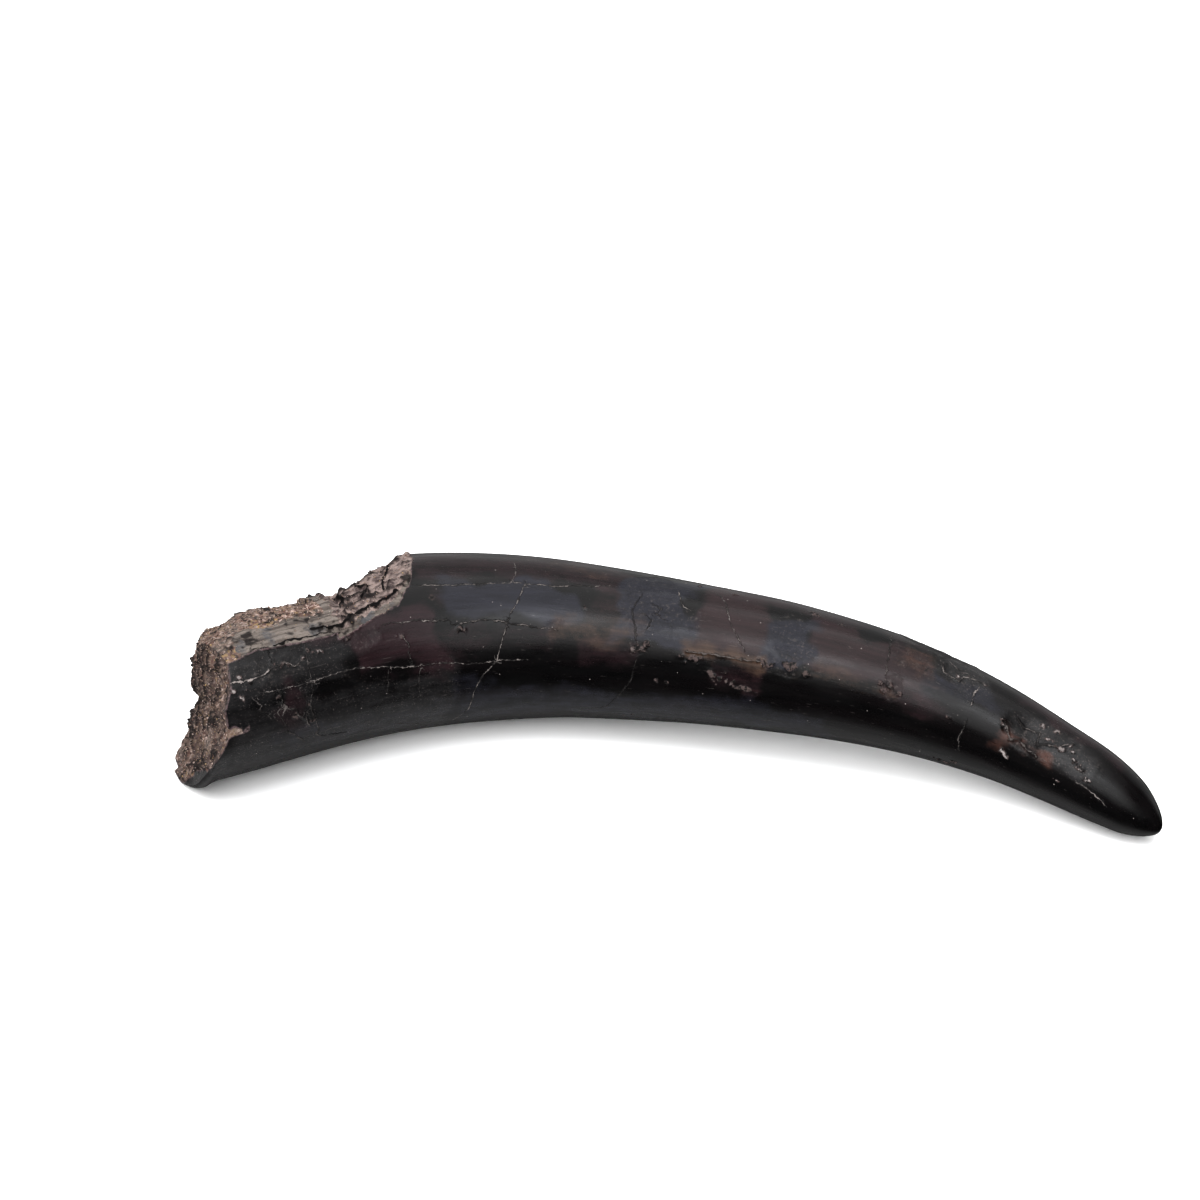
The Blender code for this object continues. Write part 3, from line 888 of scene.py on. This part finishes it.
def stainedIvory(n, straight, fleck, mottle):
    # dark ivory with blocks of stain, dust, dots and fine scratches
    brushed = n.noise(n.scaled(straight, ivory["brushed"]), 1.0, 6, 0.65)
    ragged = n.math("SUBTRACT", n.math("MULTIPLY", n.math("ADD", mottle, brushed), 0.7), 0.7)
    streaks = n.noise(n.scaled(straight, ivory["streaks"]), 1.0, 6)
    colour = n.mix(n.ramp(streaks, 0.35, 0.68), ivory["dark"], ivory["under"])
    for stain in ("grey", "brown", "maroon", "blue", "ochre", "rust"):
        amount = n.ramp(n.math("ADD", n.mask(stain), ragged), 0.15, 0.85, 0, 0.95)
        colour = n.mix(amount, colour, ivory[stain])
    shades = n.noise(n.scaled(straight, ivory["shades"]), 1.0, 6, 0.6)
    colour = n.mix(n.ramp(shades, 0.3, 0.7, 0.4, 0), colour, ivory["dark"])
    colour = n.mix(n.ramp(fleck, 0.68, 0.78, 0, 0.3), colour, ivory["speck"])
    dust = n.ramp(n.noise(straight, ivory["dust"], 3, 0.6), 0.60, 0.70)
    colour = n.mix(n.math("MULTIPLY", n.mask("grey"), dust), colour, ivory["speck"])
    dots = n.cells(straight, ivory["dots"]).outputs["Distance"]
    colour = n.mix(n.ramp(dots, 0.050, 0.03, 0, 0.7), colour, ivory["paleFill"])
    scratches = n.noise(n.scaled(straight, ivory["scratches"]), 1.0, 2)
    return n.mix(n.ramp(scratches, 0.70, 0.76, 0, 0.2), colour, ivory["paleFill"])


def crackLines(n, straight):
    # a crack wanders to both sides of its line and its width changes; a soft shadow goes with it
    wander = n.math("SUBTRACT", n.noise(straight, 0.75, 5, 0.6), 0.5)
    wander = n.math("MULTIPLY", wander, ivory["wander"])
    off = n.math("ABSOLUTE", n.math("ADD", n.mask("slit"), wander))
    opened = n.ramp(n.noise(straight, 0.5, 4, 0.7), 0.36, 0.66, 0.12, 1.1)
    share = n.math("DIVIDE", off, n.math("MULTIPLY", n.mask("slitWidth"), opened))
    gate = n.ramp(n.mask("slitNear"), 1.7, 1.1)
    line = n.math("MULTIPLY", n.ramp(share, 1.1, 0.55), gate)
    return line, n.math("MULTIPLY", n.ramp(share, 2.4, 0.9, 0, 0.75), gate)


def polishedSkin(n, straight):
    # colour, roughness and height of the polished skin
    fleck = n.noise(straight, ivory["fleck"], 6, 0.7)
    mottle = n.noise(straight, ivory["mottle"], 6, 0.7)
    colour = stainedIvory(n, straight, fleck, mottle)
    scar = n.mask("scarred")
    colour = n.mix(n.math("MULTIPLY", scar, n.ramp(fleck, 0.52, 0.72, 0, 0.6)), colour, ivory["speck"])
    crackle = n.cells(straight, ivory["crackle"], "DISTANCE_TO_EDGE").outputs["Distance"]
    colour = n.mix(n.math("MULTIPLY", scar, n.ramp(crackle, 0.03, 0.0)), colour, ivory["crackDarkAndShade"])
    chip = n.ramp(n.mask("chipped"), 0.15, 0.4)
    floor = n.mix(n.ramp(n.mask("chipped"), 0.72, 0.95), ivory["chipFloor"], ivory["chipPale"])
    floor = n.mix(n.ramp(fleck, 0.42, 0.56), ivory["crackDarkAndShade"], floor)
    colour = n.mix(chip, colour, floor)

    line, shadow = crackLines(n, straight)
    # painted shadow: the skin beside each crack is darkened
    colour = n.mix(shadow, colour, ivory["crackDarkAndShade"])
    filled = n.ramp(n.noise(straight, 0.22, 4, 0.6), 0.42, 0.58, 0.1, 1)
    filled = n.math("MULTIPLY", line, n.math("MULTIPLY", n.mask("paleness"), filled))
    colour = n.mix(filled, colour, ivory["paleFill"])
    # painted highlight: a pale line on the skin just beside its broken edge
    rim = n.math("MULTIPLY", n.ramp(n.mask("edge"), -0.8, -0.2), n.ramp(fleck, 0.4, 0.6, 0.15, 0.9))
    colour = n.mix(rim, colour, ivory["rim"])

    smears = n.noise(n.scaled(straight, ivory["smears"]), 1.0, 5)
    rough = n.ramp(smears, 0.3, 0.7, ivory["roughness"] - 0.05, ivory["roughness"] + 0.1)
    worn = n.math("MAXIMUM", n.math("MAXIMUM", line, n.math("MULTIPLY", scar, 0.6)), chip)
    rough = n.math("ADD", rough, n.math("MULTIPLY", worn, 0.35))
    grain = n.noise(n.scaled(straight, ivory["grain"]), 1.0, 4)
    pits = n.ramp(n.cells(straight, ivory["pits"]).outputs["Distance"], 0.0, 0.12, -0.12, 0)
    height = n.math("ADD", n.math("MULTIPLY", grain, 0.08), n.math("MULTIPLY", pits, 0.6))
    height = n.math("ADD", height, n.math("MULTIPLY", n.math("MAXIMUM", line, shadow), -0.4))
    height = n.math("ADD", height, n.math("MULTIPLY", n.math("MULTIPLY", scar, mottle), 0.5))
    return colour, rough, height


sand = {
    "rust": (0.116, 0.066, 0.054),
    "tan": (0.196, 0.143, 0.114),
    "pink": (0.34, 0.265, 0.235),
    "ochre": (0.24, 0.165, 0.085),
    "dark": (0.010, 0.008, 0.008),
    "grey": (0.122, 0.106, 0.095),
    "faceDark": (0.050, 0.036, 0.034),
    "rockDark": (0.052, 0.038, 0.037),
    "rockPale": (0.230, 0.184, 0.168),
    "strip": (0.160, 0.139, 0.124),
    "stripDark": (0.075, 0.062, 0.055),
    "blueGrey": (0.060, 0.064, 0.072),
    # near black, the painted shade inside the open gaps
    "gap": (0.003, 0.002, 0.002),
    "roughness": 0.86,
    # patterns, in repeats per mm
    "clouds": 0.09,
    "grains": 1.0,
    "lumps": 0.3,
    "layers": (0.06, 0.6, 0.6),
    "fine": 1.3,
}


def matrixColour(n, straight):
    # grains of several colours, greyer in clouds; the end face is duller in places and has patches of
    # painted shade for its hollows
    tone = n.add("ShaderNodeSeparateColor")
    n.put(tone.inputs[0], n.cells(straight, sand["grains"]).outputs["Color"])
    grains = n.mix(n.ramp(tone.outputs[0], 0.25, 0.85), sand["rust"], sand["tan"])
    grains = n.mix(n.ramp(tone.outputs[1], 0.76, 0.9), grains, sand["pink"])
    yellow = n.ramp(n.noise(straight, 0.13, 3), 0.5, 0.62)
    yellow = n.math("MULTIPLY", n.ramp(tone.outputs[2], 0.6, 0.8), yellow)
    grains = n.mix(yellow, grains, sand["ochre"])
    grains = n.mix(n.ramp(tone.outputs[2], 0.2, 0.1, 0, 0.9), grains, sand["dark"])
    clouds = n.noise(straight, sand["clouds"], 5)
    grains = n.mix(n.ramp(clouds, 0.35, 0.6, 0.6, 0.05), grains, sand["grey"])
    dull = n.ramp(n.noise(straight, 0.12, 5, 0.65), 0.38, 0.6, 0.1, 0.8)
    grains = n.mix(n.math("MULTIPLY", n.mask("face"), dull), grains, sand["faceDark"])
    # painted shade: dark patches on the end face stand for its shaded hollows
    hollows = n.ramp(n.noise(straight, 0.33, 5, 0.6), 0.34, 0.45, 0.8, 0)
    return n.mix(n.math("MULTIPLY", n.mask("face"), hollows), grains, sand["dark"])


def brokenGround(n, straight):
    # colour, roughness and height of the broken root
    lumps = n.noise(straight, sand["lumps"], 6, 0.65)
    rock = n.mix(n.ramp(lumps, 0.36, 0.62), sand["rockDark"], sand["rockPale"])
    layers = n.noise(n.scaled(straight, sand["layers"]), 1.0, 6)
    strip = n.mix(n.ramp(layers, 0.35, 0.6), sand["stripDark"], sand["strip"])
    strip = n.mix(n.ramp(n.mask("leaf"), 0.08, 0.0, 0, 0.8), strip, sand["dark"])
    strip = n.mix(n.ramp(n.noise(straight, 0.12, 5, 0.6), 0.55, 0.68, 0, 0.7), strip, sand["blueGrey"])
    ragged = n.math("SUBTRACT", n.math("MULTIPLY", n.noise(straight, 0.6, 4), 0.8), 0.4)
    isRock = n.ramp(n.math("ADD", n.mask("rock"), ragged), 0.35, 0.65)
    isStrip = n.ramp(n.math("ADD", n.mask("strip"), ragged), 0.4, 0.6)
    colour = n.mix(isStrip, n.mix(isRock, matrixColour(n, straight), rock), strip)
    fine = n.noise(straight, sand["fine"], 6, 0.7)
    # painted shade: darker where the fine bump is low, in its small pits
    colour = n.mix(n.ramp(fine, 0.28, 0.46, 0.7, 0), colour, sand["dark"])
    # painted shade: darker down in hollows, pits and crevices
    colour = n.mix(n.ramp(n.mask("hollowShade"), 0.05, 0.8, 0, 0.9), colour, sand["dark"])
    # painted shade: the open gaps are painted near black
    colour = n.mix(n.ramp(n.mask("groove"), 1.1, 0.6), colour, sand["gap"])
    return colour, sand["roughness"], n.math("MULTIPLY", fine, 1.6)


def fossilIvory():
    n = Nodes("fossilIvory")
    straight = n.vector("straight")
    skinColour, skinRough, skinHeight = polishedSkin(n, straight)
    groundColour, groundRough, groundHeight = brokenGround(n, straight)
    ragged = n.math("SUBTRACT", n.noise(straight, 0.9, 4, 0.6), 0.5)
    lost = n.ramp(n.math("ADD", n.mask("edge"), ragged), -0.12, 0.12)
    n.put(n.shader.inputs["Base Color"], n.mix(lost, skinColour, groundColour))
    n.put(n.shader.inputs["Roughness"], n.between(lost, skinRough, groundRough))
    n.shader.inputs["Specular IOR Level"].default_value = ivory["specular"]
    n.put(n.shader.inputs["Normal"], n.bump(n.between(lost, skinHeight, groundHeight), 0.0004, 0.8))
    return n.material


# Loose and half buried grains of sand in the broken root: how many, size in mm, and how deep they sit
grains = {
    "count": 2600,
    "small": 0.4,
    "large": 1.0,
    "sunk": 0.2,
    "seed": 11,
    "roughness": 0.6,
    "specular": 0.4,
}


def sandGrains(points, tris, masks, broken):
    # small stones with eight sides, turned at random
    random = np.random.default_rng(grains["seed"])
    corners = points[tris]
    cross = np.cross(corners[:, 1] - corners[:, 0], corners[:, 2] - corners[:, 0])
    area = np.linalg.norm(cross, axis=1) / 2
    wanted = area * (broken[tris].min(axis=1) > 0.9) * (1 - 0.85 * masks["strip"][tris].mean(axis=1))
    wanted = wanted * (1 - 0.6 * masks["rock"][tris].mean(axis=1))
    chosen = random.choice(len(tris), grains["count"], p=wanted / wanted.sum())
    weights = random.dirichlet((1, 1, 1), grains["count"])
    spots = (corners[chosen] * weights[:, :, None]).sum(axis=1)
    size = grains["small"] + (grains["large"] - grains["small"]) * random.random(grains["count"]) ** 2.5
    spots -= cross[chosen] / (2 * area[chosen, None]) * (size * grains["sunk"])[:, None]
    shape = np.array([(1, 0, 0), (-1, 0, 0), (0, 1, 0), (0, -1, 0), (0, 0, 0.8), (0, 0, -0.8)])
    sides = np.array([(0, 2, 4), (2, 1, 4), (1, 3, 4), (3, 0, 4),
                      (2, 0, 5), (1, 2, 5), (3, 1, 5), (0, 3, 5)])
    turns = np.linalg.qr(random.normal(size=(grains["count"], 3, 3)))[0]
    turns[:, :, 0] *= np.sign(np.linalg.det(turns))[:, None]
    stretch = random.uniform(0.7, 1.2, (grains["count"], 1, 3))
    stones = np.einsum("nij,nkj->nki", turns, shape * stretch) * size[:, None, None] / 2 + spots[:, None, :]
    tone = np.repeat(random.random(grains["count"]), len(shape))
    faces = sides[None] + np.arange(grains["count"])[:, None, None] * len(shape)
    return stones.reshape(-1, 3), faces.reshape(-1, 3), tone


def grainStone():
    n = Nodes("grainStone")
    tone = n.mask("tone")
    colour = n.mix(n.ramp(tone, 0.0, 0.4), sand["rust"], sand["tan"])
    colour = n.mix(n.ramp(tone, 0.6, 0.7), colour, sand["pink"])
    colour = n.mix(n.ramp(tone, 0.84, 0.86), colour, sand["ochre"])
    colour = n.mix(n.ramp(tone, 0.91, 0.92), colour, sand["dark"])
    n.put(n.shader.inputs["Base Color"], colour)
    n.shader.inputs["Roughness"].default_value = grains["roughness"]
    n.shader.inputs["Specular IOR Level"].default_value = grains["specular"]
    return n.material


def placeInFrame(points):
    # the object's own mm into the frame's metres, inside the solid's bounds
    low, high = np.array(cadLow), np.array(cadHigh)
    return np.clip(points * mm + np.array([*(low + high)[:2] / 2, low[2]]), low, high)


def addPiece(name, mesh, material):
    mesh.materials.append(material)
    piece = bpy.data.objects.new(name, mesh)
    bpy.context.scene.collection.objects.link(piece)
    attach(piece, "root")
    return piece


def buildTusk():
    points, tris, masks, straight, broken = tuskSkin()
    mesh = meshFrom("tuskSkin", placeInFrame(points), tris)
    for name, values in masks.items():
        addMask(mesh, name, values)
    addVectors(mesh, "straight", straight)
    mesh.polygons.foreach_set("use_smooth", broken[tris].mean(axis=1) <= 0.5)
    skin = addPiece("tuskSkin", mesh, fossilIvory())
    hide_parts("tusk")
    stones, sides, tone = sandGrains(points, tris, masks, broken)
    mesh = meshFrom("rootGrains", placeInFrame(stones), sides)
    addMask(mesh, "tone", tone)
    addPiece("rootGrains", mesh, grainStone())
    print("root grains:", len(sides), "triangles")


buildTusk()
print("tusk built")

studio = {
    "floorColour": (0.88, 0.88, 0.88),
    "floorRoughness": 0.9,
    "floorReach": 6.0,
    "sweepAt": 1.45,
    "sweepRound": 0.35,
    "sweepHeight": 1.7,
    # what the polish reflects: a dark room in front, pale paper close by and a pale wall behind;
    # each pair is where a glow starts and ends, as a direction from -1 to 1
    "roomGrey": 0.03,
    "paperGlow": 1.3,
    "paperUnder": (-0.80, -0.66),
    "paperAhead": (-0.2, 0.5),
    "paperLeft": (-0.85, -0.45),
    "paperLeftUnder": (-0.5, -0.1),
    "wallGlow": 0.9,
    "wallBehind": (0.35, 0.55),
    "wallOver": (-0.35, 0.0),
    # a wide window in front, high up, gives the long highlight; the soft box hangs over the object
    "windowWidth": 3.8,
    "windowHeight": 1.4,
    "windowDistance": 1.7,
    "windowTilt": 36,
    "windowTurned": -24,
    "windowPower": 63.0,
    "keyStrength": 0.5,
    "keyAngle": 22,
    "keyColour": (0.93, 0.96, 1.0),
    "keyTilt": 26,
    "boxSize": 2.0,
    "boxHeight": 1.6,
    "boxBack": 0.25,
    "boxPower": 34.0,
    # a low, dull fill from the front reaches under the shaft
    "fillStrength": 2.2,
    "fillAngle": 50,
    "fillTilt": 66,
    "gamma": 0.82,
    # the camera looks down by this much and stands turned by this much
    "lookDown": 30.0,
    "turned": 8.0,
    "distance": 0.95,
    "sensorWidth": 36.0,
    "focalPixels": 2227.0,
    "framePixels": 1200.0,
    "aimedAt": (-0.0402, 0.1149),
}


def sweep():
    # a pale floor that curves up into a wall behind the object
    bend = np.radians(np.linspace(0, 90, 13))
    back = studio["sweepAt"] + studio["sweepRound"] * np.sin(bend)
    rise = studio["sweepRound"] * (1 - np.cos(bend))
    reach = studio["floorReach"]
    profile = [(-reach, 0.0)] + list(zip(back, rise)) + [(back[-1], studio["sweepHeight"])]
    points = np.array([(side, y, z) for y, z in profile for side in (-reach, reach)])
    tris = []
    for i in range(len(profile) - 1):
        a = 2 * i
        tris += [(a, a + 1, a + 3), (a, a + 3, a + 2)]
    return meshFrom("sweep", points, np.array(tris))


def studioRoom():
    # the world, its strength fading from one direction to another
    world = bpy.data.worlds.new("studioRoom")
    world.use_nodes = True
    tree = world.node_tree
    direction = tree.nodes.new("ShaderNodeTexCoord")
    parts = tree.nodes.new("ShaderNodeSeparateXYZ")
    tree.links.new(direction.outputs["Generated"], parts.inputs[0])

    def fade(part, place, low, high):
        node = tree.nodes.new("ShaderNodeMapRange")
        tree.links.new(parts.outputs[part], node.inputs["Value"])
        for key, value in zip(("From Min", "From Max", "To Min", "To Max"), (*studio[place], low, high)):
            node.inputs[key].default_value = value
        return node.outputs["Result"]

    def combine(operation, a, b):
        node = tree.nodes.new("ShaderNodeMath")
        node.operation = operation
        tree.links.new(a, node.inputs[0])
        tree.links.new(b, node.inputs[1])
        return node.outputs[0]

    paper, wall = studio["paperGlow"], studio["wallGlow"]
    under = combine("MULTIPLY", fade("Z", "paperUnder", paper, 0), fade("Y", "paperAhead", 1, 0.12))
    left = combine("MULTIPLY", fade("X", "paperLeft", paper, 0), fade("Z", "paperLeftUnder", 0.9, 0))
    behind = fade("Y", "wallBehind", studio["roomGrey"], wall)
    behind = combine("MULTIPLY", behind, fade("Z", "wallOver", 0.02, 1))
    glow = combine("ADD", combine("ADD", under, behind), left)
    tree.links.new(glow, tree.nodes["Background"].inputs["Strength"])
    tree.nodes["Background"].inputs["Color"].default_value = (1, 1, 1, 1)
    return world


def addLight(name, kind, energy, tilt=0.0, turned=0.0, **settings):
    light = bpy.data.objects.new(name, bpy.data.lights.new(name, kind))
    light.data.energy = energy
    for key, value in settings.items():
        setattr(light.data, key, value)
    light.rotation_euler = (math.radians(tilt), 0, math.radians(turned))
    bpy.context.scene.collection.objects.link(light)
    return light


def addLights():
    addLight("keyLight", "SUN", studio["keyStrength"], studio["keyTilt"], studio["turned"],
             angle=math.radians(studio["keyAngle"]), color=studio["keyColour"])
    fill = addLight("fillLight", "SUN", studio["fillStrength"], studio["fillTilt"], studio["turned"],
                    angle=math.radians(studio["fillAngle"]))
    fill.visible_glossy = False
    window = addLight("window", "AREA", studio["windowPower"], studio["windowTilt"], studio["windowTurned"],
                      shape="RECTANGLE", size=studio["windowWidth"], size_y=studio["windowHeight"])
    window.location = window.rotation_euler.to_matrix() @ Vector((0, 0, studio["windowDistance"]))
    box = addLight("softBox", "AREA", studio["boxPower"], shape="SQUARE", size=studio["boxSize"])
    box.location = (0, studio["boxBack"], studio["boxHeight"])


def addCamera():
    camera = bpy.data.objects.new("camera", bpy.data.cameras.new("camera"))
    camera.data.sensor_width = studio["sensorWidth"]
    camera.data.lens = studio["sensorWidth"] * studio["focalPixels"] / studio["framePixels"]
    down, side = math.radians(studio["lookDown"]), math.radians(studio["turned"])
    back = Vector((math.sin(side) * math.cos(down), -math.cos(side) * math.cos(down), math.sin(down)))
    camera.location = Vector((*studio["aimedAt"], 0)) + back * studio["distance"]
    camera.rotation_euler = (-back).to_track_quat("-Z", "Y").to_euler()
    bpy.context.scene.collection.objects.link(camera)
    bpy.context.scene.camera = camera


def buildStudio():
    scene = bpy.context.scene
    scene.view_settings.view_transform = "Standard"
    scene.view_settings.gamma = studio["gamma"]
    floor = bpy.data.objects.new("sweep", sweep())
    floor.location.z = cadLow[2] - 0.2 * mm
    floor.data.shade_smooth()
    floor.visible_glossy = False
    scene.collection.objects.link(floor)
    n = Nodes("palePaper")
    n.shader.inputs["Base Color"].default_value = (*studio["floorColour"], 1)
    n.shader.inputs["Roughness"].default_value = studio["floorRoughness"]
    floor.data.materials.append(n.material)
    scene.world = studioRoom()
    addLights()
    addCamera()


buildStudio()
print("studio ready")
